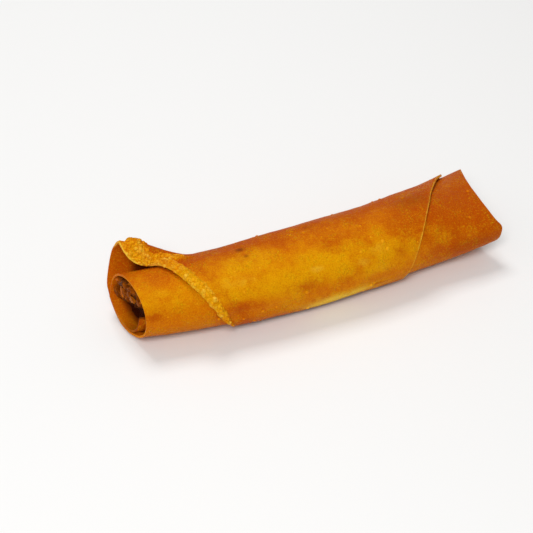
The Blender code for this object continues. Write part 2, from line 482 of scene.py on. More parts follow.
class Graph:
    """Adds and links nodes in one node tree."""

    def __init__(self, tree: bpy.types.NodeTree) -> None:
        """Take the tree to work in."""
        self.tree = tree

    def add(self, kind: str, inputs: dict | None = None, **settings: object) -> bpy.types.Node:
        """Add a node.

        Args:
            kind: the node's type name.
            inputs: for each input's name or index, a value or the socket to link from.
            settings: the node's own properties.

        Returns:
            The node.
        """
        node = self.tree.nodes.new(kind)
        for name, value in settings.items():
            setattr(node, name, value)
        for key, value in (inputs or {}).items():
            self.feed(node.inputs[key], value)
        return node

    def feed(self, socket: bpy.types.NodeSocket, value: object) -> None:
        """Set a socket.

        Args:
            socket: an input.
            value: its value, or the socket to link it from.
        """
        if isinstance(value, bpy.types.NodeSocket):
            self.tree.links.new(value, socket)
        else:
            socket.default_value = value

    def fixed(self, node: bpy.types.Node, values: dict[str, object]) -> None:
        """Set constants directly on a shader's sockets."""
        for name, value in values.items():
            node.inputs[name].default_value = value

    def math(self, operation: str, *values: object) -> bpy.types.NodeSocket:
        """Calculate with a Math node.

        Args:
            operation: its operation.
            values: its two or three values.

        Returns:
            The result.
        """
        node = self.add("ShaderNodeMath", operation=operation)
        for socket, value in zip(node.inputs, values):
            self.feed(socket, value)
        return node.outputs[0]

    def vector(self, operation: str, *values: object) -> bpy.types.NodeSocket:
        """Calculate with a Vector Math node.

        Args:
            operation: its operation.
            values: its vectors.

        Returns:
            The result.
        """
        node = self.add("ShaderNodeVectorMath", operation=operation)
        for socket, value in zip(node.inputs, values):
            self.feed(socket, value)
        return node.outputs[0]

    def scaled(self, vector: object, scale: object) -> bpy.types.NodeSocket:
        """Multiply a vector by a number.

        Args:
            vector: the vector.
            scale: the number.

        Returns:
            The scaled vector.
        """
        node = self.add("ShaderNodeVectorMath", operation="SCALE")
        self.feed(node.inputs["Vector"], vector)
        self.feed(node.inputs["Scale"], scale)
        return node.outputs[0]

    def attribute(self, name: str) -> bpy.types.NodeSocket:
        """A mesh attribute's value, in a shader."""
        return self.add("ShaderNodeAttribute", attribute_name=name).outputs["Fac"]

    def stored(self, name: str) -> bpy.types.NodeSocket:
        """A mesh attribute's value, in Geometry Nodes."""
        node = self.add("GeometryNodeInputNamedAttribute", {"Name": name}, data_type="FLOAT")
        return node.outputs["Attribute"]

    def random(self, kind: str, low: object, high: object, seed: object) -> bpy.types.NodeSocket:
        """Draw at random.

        Args:
            kind: FLOAT or FLOAT_VECTOR.
            low: the least value.
            high: the greatest value.
            seed: for the draw.

        Returns:
            The value drawn for each point.
        """
        node = self.add("FunctionNodeRandomValue", {"Seed": seed}, data_type=kind)
        ends = [s for s in node.inputs if s.enabled and s.name in ("Min", "Max")]
        self.feed(ends[0], low)
        self.feed(ends[1], high)
        return [s for s in node.outputs if s.enabled][0]

    def scatter(self, given: bpy.types.NodeOutputs, mask: str) -> bpy.types.Node:
        """Spread points over a surface.

        Args:
            given: the tree's inputs, of which Geometry, Density and Seed are read.
            mask: the attribute that multiplies the density.

        Returns:
            The node that makes the points.
        """
        density = self.math("MULTIPLY", self.stored(mask), given["Density"])
        return self.add("GeometryNodeDistributePointsOnFaces", {
            "Mesh": given["Geometry"], "Density": density, "Seed": given["Seed"],
        }, distribute_method="RANDOM")

    def finish(self, geometry: bpy.types.NodeSocket, material: bpy.types.NodeSocket,
               smoothed: bool) -> None:
        """End a tree with real, dressed geometry.

        Args:
            geometry: what the tree made.
            material: its finish.
            smoothed: whether it is shaded smooth.
        """
        made = self.add("GeometryNodeRealizeInstances", {0: geometry})
        if smoothed:
            made = self.add("GeometryNodeSetShadeSmooth", {0: made.outputs[0]})
        made = self.add("GeometryNodeSetMaterial", {0: made.outputs[0], "Material": material})
        self.add("NodeGroupOutput", {0: made.outputs[0]})

    def ramp(self, value: object, low: float, high: float) -> bpy.types.NodeSocket:
        """Ease a value from 0 to 1.

        Args:
            value: the value.
            low: where it gives 0.
            high: where it gives 1.

        Returns:
            The eased value.
        """
        node = self.add("ShaderNodeMapRange", {"Value": value, "From Min": low, "From Max": high})
        node.interpolation_type = "SMOOTHSTEP"
        return node.outputs["Result"]

    def mix(self, share: object, low: object, high: object) -> bpy.types.NodeSocket:
        """Mix two colours.

        Args:
            share: how much of the second, from 0 to 1.
            low: the first colour.
            high: the second colour.

        Returns:
            The mixed colour.
        """
        node = self.add("ShaderNodeMix", data_type="RGBA")
        sockets = {s.identifier: s for s in node.inputs}
        self.feed(sockets["Factor_Float"], share)
        self.feed(sockets["A_Color"], low)
        self.feed(sockets["B_Color"], high)
        return {s.identifier: s for s in node.outputs}["Result_Color"]


def open_group(name: str, kind: str, sockets: list[tuple[str, str, str]]) -> bpy.types.NodeTree:
    """Start a node group.

    Args:
        name: its name.
        kind: ShaderNodeTree or GeometryNodeTree.
        sockets: the name, direction and socket type of each of its sockets.

    Returns:
        The empty group.
    """
    tree = bpy.data.node_groups.new(name, kind)
    for label, direction, socket_type in sockets:
        tree.interface.new_socket(name=label, in_out=direction, socket_type=socket_type)
    return tree


FLOAT = "NodeSocketFloat"
COLOUR = "NodeSocketColor"
GEOMETRY = "NodeSocketGeometry"
INTEGER = "NodeSocketInt"
MATERIAL = "NodeSocketMaterial"


def blister_group() -> bpy.types.NodeTree:
    """Fine fried relief: grain, micro blisters and an uneven skin.

    Returns:
        A group that turns a blister size and a grain size into a height and a mask.
    """
    tree = open_group("fried_relief", "ShaderNodeTree", [
        ("Blister Scale", "INPUT", FLOAT), ("Grain Scale", "INPUT", FLOAT),
        ("Height", "OUTPUT", FLOAT), ("Mask", "OUTPUT", FLOAT),
    ])
    graph = Graph(tree)
    given = graph.add("NodeGroupInput")
    place = graph.add("ShaderNodeTexCoord").outputs["Object"]
    warp = graph.add("ShaderNodeTexNoise", {"Vector": place, "Scale": 420.0, "Detail": 2.0})
    bent = graph.vector("ADD", place, graph.scaled(warp.outputs["Color"], 0.0012))
    cells = graph.add("ShaderNodeTexVoronoi", {
        "Vector": bent, "Scale": given.outputs["Blister Scale"], "Smoothness": 0.35,
        "Randomness": 1.0,
    }, feature="SMOOTH_F1")
    dome = graph.math("SUBTRACT", 1.0, graph.ramp(cells.outputs["Distance"], 0.05, 0.62))
    patches = graph.add("ShaderNodeTexNoise", {"Vector": place, "Scale": 150.0, "Detail": 3.0})
    present = graph.ramp(patches.outputs["Fac"], 0.42, 0.66)
    mask = graph.math("MULTIPLY", dome, present)
    grain = graph.add("ShaderNodeTexNoise", {
        "Vector": place, "Scale": given.outputs["Grain Scale"], "Detail": 5.0, "Roughness": 0.62,
    })
    skin = graph.add("ShaderNodeTexNoise", {"Vector": place, "Scale": 330.0, "Detail": 3.0})
    height = graph.math("MULTIPLY", mask, 0.55)
    height = graph.math("MULTIPLY_ADD", grain.outputs["Fac"], 0.42, height)
    height = graph.math("MULTIPLY_ADD", skin.outputs["Fac"], 0.60, height)
    graph.add("NodeGroupOutput", {"Height": height, "Mask": mask})
    return tree


def browning_group() -> bpy.types.NodeTree:
    """Colour of the fried sheet, from its attributes, which carry browning, painted shade and
    painted highlight, and from uneven browning.

    Returns:
        A group whose colours are the four shades of the crust.
    """
    tree = open_group("browning", "ShaderNodeTree", [
        ("Amber", "INPUT", COLOUR), ("Golden", "INPUT", COLOUR), ("Russet", "INPUT", COLOUR),
        ("Straw", "INPUT", COLOUR), ("Colour", "OUTPUT", COLOUR), ("Dark", "OUTPUT", FLOAT),
    ])
    graph = Graph(tree)
    given = graph.add("NodeGroupInput")
    place = graph.add("ShaderNodeTexCoord").outputs["Object"]
    masks = {tint: graph.attribute(tint.value) for tint in Tint}
    broad = graph.add("ShaderNodeTexNoise", {"Vector": place, "Scale": 75.0, "Detail": 4.0})
    mottle = graph.add("ShaderNodeTexNoise", {
        "Vector": place, "Scale": 420.0, "Detail": 5.0, "Roughness": 0.65,
    })
    speck = graph.add("ShaderNodeTexNoise", {"Vector": place, "Scale": 2100.0, "Detail": 3.0})
    shift = graph.math("SUBTRACT", broad.outputs["Fac"], 0.5)
    fine = graph.math("SUBTRACT", mottle.outputs["Fac"], 0.5)
    tiny = graph.math("SUBTRACT", speck.outputs["Fac"], 0.5)
    uneven = graph.math("MULTIPLY_ADD", fine, 0.9, graph.math("MULTIPLY", shift, 1.4))
    gold = graph.math("ADD", masks[Tint.GOLD], graph.math("MULTIPLY", uneven, 0.9))
    colour = graph.mix(graph.ramp(gold, 0.0, 1.0), given.outputs["Amber"], given.outputs["Golden"])
    red = graph.math("SUBTRACT", masks[Tint.RED], graph.math("MULTIPLY", uneven, 0.9))
    # Russet where the red mask lies: partly browning, partly painted shade
    colour = graph.mix(graph.ramp(red, 0.05, 1.0), colour, given.outputs["Russet"])
    # Straw where the pale mask and the blister crests lie: pale patches, plus painted highlight
    # along the rims and on the crests
    pale = graph.math("ADD", masks[Tint.PALE], graph.math("MULTIPLY", fine, 0.7))
    pale = graph.math("ADD", pale, graph.attribute("crest"))
    colour = graph.mix(graph.ramp(pale, 0.15, 1.2), colour, given.outputs["Straw"])
    light = graph.math("MAXIMUM", graph.math("MULTIPLY", tiny, 1.5), 0.0)
    colour = graph.mix(light, colour, SPECK)
    pits = graph.math("MAXIMUM", graph.math("MULTIPLY", tiny, -2.0), 0.0)
    colour = graph.mix(pits, colour, given.outputs["Russet"])
    # Dark brown where the spot mask lies: burnt spots, plus painted shadow beside the flap and
    # painted shade at the right
    dark = graph.math("ADD", masks[Tint.SPOT], graph.math("MULTIPLY", fine, 0.5))
    dark = graph.ramp(dark, 0.2, 1.0)
    colour = graph.mix(dark, colour, BURNT_AND_SHADOW)
    graph.add("NodeGroupOutput", {"Colour": colour, "Dark": dark})
    return tree


@dataclass(frozen=True)
class Crust:
    """Finish of the fried pastry on one side of the sheet.

    Args:
        name: the material's name.
        amber, golden, russet, straw: its four shades.
        roughness: mean roughness.
        relief: depth of the fine relief.
        blister_scale: micro blisters to a metre.
        shade_within: how far it darkens away from the mouth.
    """

    name: str
    amber: Colour
    golden: Colour
    russet: Colour
    straw: Colour
    roughness: float
    relief: float
    blister_scale: float = 900.0
    shade_within: float = 0.0

    def material(
        self, relief: bpy.types.NodeTree, browning: bpy.types.NodeTree
    ) -> bpy.types.Material:
        """Build the material.

        Args:
            relief: the fried relief group.
            browning: the browning group.

        Returns:
            The material.
        """
        made = bpy.data.materials.new(self.name)
        made.use_nodes = True
        graph = Graph(made.node_tree)
        shader = made.node_tree.nodes["Principled BSDF"]
        bumps = graph.add("ShaderNodeGroup", node_tree=relief)
        graph.fixed(bumps, {"Blister Scale": self.blister_scale, "Grain Scale": 2600.0})
        shades = graph.add("ShaderNodeGroup", node_tree=browning)
        graph.fixed(shades, {
            "Amber": (*self.amber, 1.0), "Golden": (*self.golden, 1.0),
            "Russet": (*self.russet, 1.0), "Straw": (*self.straw, 1.0),
        })
        tops = graph.math("MULTIPLY", bumps.outputs["Mask"], 0.22)
        colour = graph.mix(tops, shades.outputs["Colour"], (*self.straw[:2], 0.006, 1.0))
        if self.shade_within:
            deep = graph.math("MULTIPLY", graph.attribute("deep"), self.shade_within)
            colour = graph.mix(deep, colour, SHADE_IN_ROLL)
        graph.feed(shader.inputs["Base Color"], colour)
        rough = graph.math("MULTIPLY_ADD", bumps.outputs["Height"], 0.22, self.roughness - 0.14)
        graph.feed(shader.inputs["Roughness"], rough)
        bump = graph.add("ShaderNodeBump", {
            "Strength": 1.0, "Distance": self.relief, "Height": bumps.outputs["Height"],
        })
        graph.feed(shader.inputs["Normal"], bump.outputs["Normal"])
        graph.fixed(shader, {
            "Specular IOR Level": 0.06, "Specular Tint": (1.0, 0.62, 0.16, 1.0),
            "Subsurface Weight": 0.10, "Subsurface Radius": (1.0, 0.4, 0.05),
            "Subsurface Scale": 0.0007,
        })
        return made


@dataclass(frozen=True)
class Morsel:
    """Finish of one kind of cooked filling.

    Args:
        name: the material's name.
        dark, light: its two shades.
        roughness: mean roughness.
        scale: blotches to a metre.
        relief: depth of its relief.
    """

    name: str
    dark: Colour
    light: Colour
    roughness: float
    scale: float
    relief: float

    def material(self) -> bpy.types.Material:
        """Build the material.

        Returns:
            The material.
        """
        made = bpy.data.materials.new(self.name)
        made.use_nodes = True
        graph = Graph(made.node_tree)
        shader = made.node_tree.nodes["Principled BSDF"]
        place = graph.add("ShaderNodeTexCoord").outputs["Object"]
        blotch = graph.add("ShaderNodeTexNoise", {
            "Vector": place, "Scale": self.scale, "Detail": 5.0, "Roughness": 0.6,
        })
        fibre = graph.add("ShaderNodeTexNoise", {
            "Vector": place, "Scale": self.scale * 5.0, "Detail": 3.0,
        })
        share = graph.ramp(blotch.outputs["Fac"], 0.32, 0.68)
        colour = graph.mix(share, (*self.dark, 1.0), (*self.light, 1.0))
        colour = graph.mix(graph.attribute("deep"), colour, SHADE_IN_FILLING)
        graph.feed(shader.inputs["Base Color"], colour)
        rough = graph.math("MULTIPLY_ADD", fibre.outputs["Fac"], 0.3, self.roughness - 0.15)
        graph.feed(shader.inputs["Roughness"], rough)
        height = graph.math("MULTIPLY_ADD", fibre.outputs["Fac"], 0.5, blotch.outputs["Fac"])
        bump = graph.add("ShaderNodeBump", {
            "Strength": 1.0, "Distance": self.relief, "Height": height,
        })
        graph.feed(shader.inputs["Normal"], bump.outputs["Normal"])
        graph.fixed(shader, {
            "Specular IOR Level": 0.05, "Specular Tint": (1.0, 0.58, 0.16, 1.0),
            "Subsurface Weight": 0.10, "Subsurface Radius": (1.0, 0.4, 0.1),
            "Subsurface Scale": 0.0006,
        })
        return made


def relief_tree() -> bpy.types.NodeTree:
    """Geometry Nodes that raise blisters on the band and ripples on the rest of the sheet.

    Returns:
        The tree, with its sizes, seed and material as named inputs.
    """
    tree = open_group("sheet_relief", "GeometryNodeTree", [
        ("Geometry", "INPUT", GEOMETRY), ("Blister Size", "INPUT", FLOAT),
        ("Blister Height", "INPUT", FLOAT), ("Ripple Size", "INPUT", FLOAT),
        ("Ripple Height", "INPUT", FLOAT), ("Crest Paleness", "INPUT", FLOAT),
        ("Seed", "INPUT", FLOAT), ("Material", "INPUT", MATERIAL),
        ("Geometry", "OUTPUT", GEOMETRY),
    ])
    graph = Graph(tree)
    given = graph.add("NodeGroupInput").outputs
    place = graph.add("GeometryNodeInputPosition").outputs[0]
    normal = graph.add("GeometryNodeInputNormal").outputs[0]
    blister_scale = graph.math("DIVIDE", 1.0, given["Blister Size"])
    cells = graph.add("ShaderNodeTexVoronoi", {
        "Vector": place, "W": given["Seed"], "Scale": blister_scale, "Randomness": 1.0,
    }, feature="SMOOTH_F1", voronoi_dimensions="4D")
    dome = graph.ramp(cells.outputs["Distance"], 0.62, 0.1)
    crest = graph.math("MULTIPLY", dome, graph.stored("band"))
    blisters = graph.math("MULTIPLY", crest, given["Blister Height"])
    ripple_scale = graph.math("DIVIDE", 1.0, given["Ripple Size"])
    ripple = graph.add("ShaderNodeTexNoise", {
        "Vector": place, "W": given["Seed"], "Scale": ripple_scale, "Detail": 3.0,
        "Roughness": 0.5,
    }, noise_dimensions="4D")
    ripples = graph.math("SUBTRACT", ripple.outputs["Fac"], 0.5)
    ripples = graph.math("MULTIPLY", ripples, given["Ripple Height"])
    rise = graph.math("ADD", blisters, ripples)
    rise = graph.math("MULTIPLY", rise, graph.stored("shown"))
    # Crest: the blister tops, stored for a paler colour that is partly painted highlight
    noted = graph.add("GeometryNodeStoreNamedAttribute", {
        "Geometry": given["Geometry"], "Name": "crest",
        "Value": graph.math("MULTIPLY", crest, given["Crest Paleness"]),
    }, data_type="FLOAT", domain="POINT")
    moved = graph.add("GeometryNodeSetPosition", {
        "Geometry": noted.outputs[0], "Offset": graph.scaled(normal, rise),
    })
    graph.finish(moved.outputs[0], given["Material"], smoothed=False)
    return tree


def bubble_tree() -> bpy.types.NodeTree:
    """Geometry Nodes that scatter small fried bubbles over a surface.

    Returns:
        The tree. Its density is multiplied by the surface's "bubbly" attribute.
    """
    tree = open_group("fried_bubbles", "GeometryNodeTree", [
        ("Geometry", "INPUT", GEOMETRY), ("Density", "INPUT", FLOAT),
        ("Smallest", "INPUT", FLOAT), ("Largest", "INPUT", FLOAT), ("Flatness", "INPUT", FLOAT),
        ("Lift", "INPUT", FLOAT), ("Seed", "INPUT", INTEGER), ("Material", "INPUT", MATERIAL),
        ("Geometry", "OUTPUT", GEOMETRY),
    ])
    graph = Graph(tree)
    given = graph.add("NodeGroupInput").outputs
    points = graph.scatter(given, "bubbly")
    raised = graph.add("GeometryNodeSetPosition", {
        "Geometry": points.outputs["Points"],
        "Offset": graph.scaled(points.outputs["Normal"], given["Lift"]),
    })
    share = graph.random("FLOAT", 0.0, 1.0, given["Seed"])
    skewed = graph.math("POWER", share, 2.4)
    reach = graph.math("SUBTRACT", given["Largest"], given["Smallest"])
    width = graph.math("MULTIPLY_ADD", skewed, reach, given["Smallest"])
    tall = graph.math("MULTIPLY", width, given["Flatness"])
    scale = graph.add("ShaderNodeCombineXYZ", {"X": width, "Y": width, "Z": tall})
    ball = graph.add("GeometryNodeMeshIcoSphere", {"Radius": 0.5, "Subdivisions": 2})
    placed = graph.add("GeometryNodeInstanceOnPoints", {
        "Points": raised.outputs[0], "Instance": ball.outputs["Mesh"],
        "Rotation": points.outputs["Rotation"], "Scale": scale.outputs[0],
    })
    graph.finish(placed.outputs[0], given["Material"], smoothed=True)
    return tree


def shred_tree() -> bpy.types.NodeTree:
    """Geometry Nodes that strew curved shreds over a surface.

    Returns:
        The tree. Its density is multiplied by the surface's "open" attribute.
    """
    tree = open_group("shreds", "GeometryNodeTree", [
        ("Geometry", "INPUT", GEOMETRY), ("Density", "INPUT", FLOAT), ("Length", "INPUT", FLOAT),
        ("Width", "INPUT", FLOAT), ("Thickness", "INPUT", FLOAT), ("Bow", "INPUT", FLOAT),
        ("Seed", "INPUT", INTEGER), ("Material", "INPUT", MATERIAL),
        ("Geometry", "OUTPUT", GEOMETRY),
    ])
    graph = Graph(tree)
    given = graph.add("NodeGroupInput").outputs
    half = graph.math("MULTIPLY", given["Length"], 0.5)
    first = graph.add("ShaderNodeCombineXYZ", {"X": graph.math("MULTIPLY", half, -1.0)})
    last = graph.add("ShaderNodeCombineXYZ", {"X": half})
    top = graph.add("ShaderNodeCombineXYZ", {"Z": given["Bow"]})
    path = graph.add("GeometryNodeCurveQuadraticBezier", {
        "Resolution": 6, "Start": first.outputs[0], "Middle": top.outputs[0],
        "End": last.outputs[0],
    })
    circle = graph.add("GeometryNodeCurvePrimitiveCircle", {"Resolution": 8, "Radius": 0.5})
    flat = graph.add("ShaderNodeCombineXYZ", {
        "X": given["Width"], "Y": given["Thickness"], "Z": 1.0,
    })
    outline = graph.add("GeometryNodeTransform", {
        "Geometry": circle.outputs[0], "Scale": flat.outputs[0],
    })
    strip = graph.add("GeometryNodeCurveToMesh", {
        "Curve": path.outputs[0], "Profile Curve": outline.outputs[0], "Fill Caps": True,
    })
    points = graph.scatter(given, "open")
    tilt = 0.9
    spin = graph.random(
        "FLOAT_VECTOR", (-tilt, -tilt, 0.0), (tilt, tilt, 2.0 * math.pi), given["Seed"]
    )
    aligned = graph.add("FunctionNodeRotateRotation", {
        0: points.outputs["Rotation"], 1: spin,
    }, rotation_space="LOCAL")
    size = graph.random("FLOAT", 0.6, 1.25, given["Seed"])
    placed = graph.add("GeometryNodeInstanceOnPoints", {
        "Points": points.outputs["Points"], "Instance": strip.outputs[0],
        "Rotation": aligned.outputs[0], "Scale": size,
    })
    graph.finish(placed.outputs[0], given["Material"], smoothed=True)
    return tree


def grown(
    name: str, source: bpy.types.Mesh, tree: bpy.types.NodeTree, values: dict[str, object]
) -> bpy.types.Mesh:
    """Run a Geometry Nodes tree on a mesh and keep the result as a plain mesh.

    Args:
        name: the new mesh's name.
        source: the mesh that the tree starts from.
        tree: the tree.
        values: a value for each named input.

    Returns:
        The resulting mesh.
    """
    host = bpy.data.objects.new(name, source)
    bpy.context.scene.collection.objects.link(host)
    nodes = host.modifiers.new("nodes", "NODES")
    nodes.node_group = tree
    for item in tree.interface.items_tree:
        if item.item_type == "SOCKET" and item.in_out == "INPUT" and item.name in values:
            nodes[item.identifier] = values[item.name]
    mesh = evaluated(host, name)
    bpy.data.objects.remove(host)
    return mesh


def evaluated(host: bpy.types.Object, name: str) -> bpy.types.Mesh:
    """Apply an object's modifiers.

    Args:
        host: the object.
        name: the new mesh's name.

    Returns:
        The plain mesh.
    """
    bpy.context.view_layer.update()
    graph = bpy.context.evaluated_depsgraph_get()
    mesh = bpy.data.meshes.new_from_object(host.evaluated_get(graph), depsgraph=graph)
    mesh.name = name
    return mesh


def fit_piece(name: str, mesh: bpy.types.Mesh, node: str) -> bpy.types.Object:
    """Make a finished mesh a piece of the roll.

    Args:
        name: the piece's name.
        mesh: its mesh, in place.
        node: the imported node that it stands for.

    Returns:
        The piece.
    """
    piece = bpy.data.objects.new(name, mesh)
    bpy.context.scene.collection.objects.link(piece)
    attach(piece, "root")
    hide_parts(node)
    log.info("%s: %d faces", name, len(mesh.polygons))
    return piece


@dataclass(frozen=True)
class BrowningAndPaintedLight:
    """How strongly each colour mark lies on each part of the sheet, mostly from 0 to 1: browning
    from frying, painted shade and painted highlight.
    """

    belly_gold: float = 0.84
    belly_inside: float = 0.62
    band_gold: float = 0.45
    # Red toward the top, the right, the underside and behind the band: partly browning, partly
    # painted shade
    top_red: float = 0.85
    right_red: float = 0.92
    right_low_loss: float = 0.30
    low_red: float = 0.40
    behind_band_red: float = 0.30
    band_red_loss: float = 0.85
    # Painted shadow beside the flap's right edge, partly a browned line
    under_flap: float = 0.36
    under_flap_loss: float = 0.30
    # Pale rims: partly the edges' own paleness, partly painted highlight along the edges
    left_rim: float = 0.12
    lip_rim: float = 0.75
    right_rim: float = 0.30
    loose_rim: float = 0.40
    palest: float = 1.3
    inner_end_shade: float = 0.80
    covered_relief: float = 0.3
    plain_bubbles: float = 0.008


@dataclass
class Wrapper:
    """The fried sheet with its blistered band, and the loose bubbles on it."""

    shape: SheetShape = field(default_factory=SheetShape)
    marks: BrowningAndPaintedLight = field(default_factory=BrowningAndPaintedLight)
    folds: list[Fold] = field(default_factory=lambda: [
        Fold(0.0175, 156.0, 0.0050, 0.0016, 0.00045, 60.0),
        Fold(0.0237, 134.0, 0.0060, 0.0022, 0.00040, 35.0),
        Fold(0.0205, 145.0, 0.0070, 0.0022, -0.00050, 50.0),
        Fold(0.0540, 178.0, 0.0055, 0.0013, 0.00050, 40.0),
        Fold(0.0590, 165.0, 0.0060, 0.0014, -0.00045, 35.0),
        Fold(0.0620, 158.0, 0.0050, 0.0012, 0.00045, 30.0),
        Fold(0.0180, 192.0, 0.0090, 0.0009, -0.00030, -8.0),
        Fold(-0.0280, 186.0, 0.0140, 0.0030, -0.00035, 5.0),
        Fold(-0.0430, 186.0, 0.0050, 0.0030, -0.00050, -40.0),
        Fold(-0.0100, 60.0, 0.0250, 0.0040, 0.00035, 8.0),
        Fold(0.0400, 70.0, 0.0200, 0.0035, -0.00040, -12.0),
        Fold(-0.0300, 330.0, 0.0300, 0.0040, 0.00035, 6.0),
        Fold(0.0350, 350.0, 0.0160, 0.0030, -0.00040, 20.0),
    ])
    blotches: list[Blotch] = field(default_factory=lambda: [
        Blotch(Tint.SPOT, -0.0325, 80.0, 0.0026, 0.0018, 0.85),
        Blotch(Tint.SPOT, -0.0318, 94.0, 0.0015, 0.0011, 0.75),
        Blotch(Tint.SPOT, -0.0385, 52.0, 0.0045, 0.0025, 0.55),
        Blotch(Tint.SPOT, -0.0023, 73.0, 0.0040, 0.0018, 0.50),
        Blotch(Tint.SPOT, 0.0180, 193.0, 0.0070, 0.0008, 0.40),
        Blotch(Tint.SPOT, 0.0150, 300.0, 0.0030, 0.0020, 0.60),
        Blotch(Tint.SPOT, -0.0500, 340.0, 0.0022, 0.0026, 0.60),
        Blotch(Tint.RED, -0.0741, 162.0, 0.0034, 0.0032, 0.66),
        Blotch(Tint.RED, -0.0499, 182.0, 0.0050, 0.0040, 0.50),
        Blotch(Tint.RED, 0.0035, 168.0, 0.0080, 0.0030, 0.50),
        Blotch(Tint.RED, 0.0060, 110.0, 0.0170, 0.0080, 0.56),
        # Red at the lower right: partly browning, partly painted shade
        Blotch(Tint.RED, 0.0640, 182.0, 0.0240, 0.0090, 1.10),
        Blotch(Tint.RED, -0.0144, 164.0, 0.0090, 0.0040, 0.74),
        Blotch(Tint.RED, -0.0388, 172.0, 0.0100, 0.0035, 0.45),
        Blotch(Tint.RED, 0.0563, 165.0, 0.0040, 0.0012, 0.80),
        Blotch(Tint.RED, 0.0512, 171.0, 0.0040, 0.0012, 0.70),
        Blotch(Tint.RED, 0.0200, 197.0, 0.0060, 0.0011, 0.80),
        Blotch(Tint.RED, 0.0300, 150.0, 0.0050, 0.0030, 0.42),
        Blotch(Tint.GOLD, -0.0340, 112.0, 0.0130, 0.0090, 0.90),
        Blotch(Tint.GOLD, 0.0171, 139.0, 0.0060, 0.0050, 1.00),
        Blotch(Tint.GOLD, 0.0123, 151.0, 0.0035, 0.0025, 0.95),
        Blotch(Tint.GOLD, -0.0699, 125.0, 0.0080, 0.0050, 0.62),
        Blotch(Tint.GOLD, -0.0071, 141.0, 0.0060, 0.0030, 0.95),
        Blotch(Tint.GOLD, 0.0160, 164.0, 0.0090, 0.0045, 0.98),
        Blotch(Tint.GOLD, 0.0540, 149.0, 0.0080, 0.0045, 0.40),
        Blotch(Tint.GOLD, 0.0060, 200.0, 0.0200, 0.0050, 1.00),
        Blotch(Tint.PALE, -0.0010, 208.0, 0.0120, 0.0046, 1.55),
        Blotch(Tint.PALE, 0.0090, 202.0, 0.0070, 0.0034, 1.05),
        # Dark at the upper right and at the lower right: painted shade, partly browning
        Blotch(Tint.SPOT, 0.0440, 84.0, 0.0150, 0.0080, 0.50),
        Blotch(Tint.SPOT, 0.0640, 182.0, 0.0200, 0.0070, 0.44),
        Blotch(Tint.PALE, -0.0071, 141.0, 0.0034, 0.0020, 0.62),
        Blotch(Tint.PALE, 0.0200, 140.0, 0.0070, 0.0040, 0.38),
        Blotch(Tint.PALE, 0.0123, 151.0, 0.0040, 0.0026, 0.45),
        Blotch(Tint.PALE, -0.0400, 132.0, 0.0110, 0.0050, 0.34),
        Blotch(Tint.PALE, -0.0699, 125.0, 0.0070, 0.0040, 0.24),
    ])
    inner_step: float = 6.0
    middle_step: float = 3.0
    outer_step: float = 2.0
    band_columns: int = 44
    band_share: float = 0.0145
    columns: int = 160
    bubble_lift: float = 0.46
    sharp_angle: float = 62.0

    def angles(self) -> Array:
        """Choose the rows, closer together on the turns that show.

        Returns:
            The angle of each.
        """
        shown_from = self.shape.collar_angle - 360.0
        turns = (
            (self.shape.start, shown_from, self.inner_step),
            (shown_from, self.shape.end - 360.0, self.middle_step),
            (self.shape.end - 360.0, self.shape.end, self.outer_step),
        )
        rows = [np.linspace(low, high, round((high - low) / step) + 1) for low, high, step in turns]
        return np.unique(np.concatenate(rows))

    def grid(self) -> tuple[Array, Array, Array]:
        """Places over the sheet.

        Returns:
            For each row and column the place along the roll, the angle and the distance
            from the sheet's left edge.
        """
        angle = self.angles()[:, None]
        left, right = self.shape.left_edge(angle), self.shape.right_edge(angle)
        near = np.linspace(0.0, self.band_share, self.band_columns + 1)[None, :-1]
        far = np.linspace(0.0, 1.0, self.columns - self.band_columns + 1)[None, :]
        rest = left + self.band_share + (right - left - self.band_share) * far
        x = np.concatenate([left + near, rest], axis=1)
        return x, np.broadcast_to(angle, x.shape), x - left

    def tints(self, x: Array, angle: Array, inward: Array, band: Array) -> dict[Tint, Array]:
        """Colour the sheet: browning, painted shade and painted highlight.

        Args:
            x: places along the roll.
            angle: angles along the sheet.
            inward: distances from the left edge.
            band: share of the blistered band.

        Returns:
            How strong each colour is at each place.
        """
        shape, marks = self.shape, self.marks
        around = angle % 360.0
        last_turn = eased(angle, -130.0, 6.0)
        inside = marks.belly_inside
        belly = bell(around, 139.0, 31.0, 34.0) * (inside + (1.0 - inside) * last_turn)
        # Red toward the top, the right and the underside: partly browning, partly painted shade
        # where less light falls
        low = eased(around, 120.0, 70.0)
        right = eased(x - 0.006, 0.024 * low, 0.050)
        top = 1.0 - eased(np.abs(turn_from(around, 10.0)), 48.0, 70.0)
        tints = {
            Tint.GOLD: marks.belly_gold * belly * (1.0 - right),
            Tint.RED: np.maximum.reduce([
                marks.top_red * top,
                marks.right_red * right * (1.0 - marks.right_low_loss * low),
                marks.low_red * eased(around, 180.0, 35.0),
            ]),
            Tint.PALE: np.zeros_like(x),
            Tint.SPOT: np.zeros_like(x),
        }
        for blotch in self.blotches:
            along = (x - blotch.x) / blotch.length
            across = np.radians(turn_from(around, blotch.angle)) * shape.half_width / blotch.width
            patch = blotch.strength * np.exp(-(along**2) - across**2)
            tints[blotch.tint] = np.maximum(tints[blotch.tint], patch)

        # Red on the strip just inside the blistered band: painted shade beside the raised band,
        # partly browning
        behind_band = last_turn * hump(inward - 0.0085, 0.003)
        red = np.clip(tints[Tint.RED] + marks.behind_band_red * behind_band, 0.0, 1.0)
        red = red * (1.0 - marks.band_red_loss * band)
        # Painted shade: the tucked inner end, deep inside the roll, drawn russet
        inner_end = 1.0 - eased(angle, -520.0, 130.0)
        tints[Tint.RED] = np.maximum(red, inner_end)
        tints[Tint.GOLD] = np.clip(tints[Tint.GOLD] + marks.band_gold * band, 0.0, 1.0)

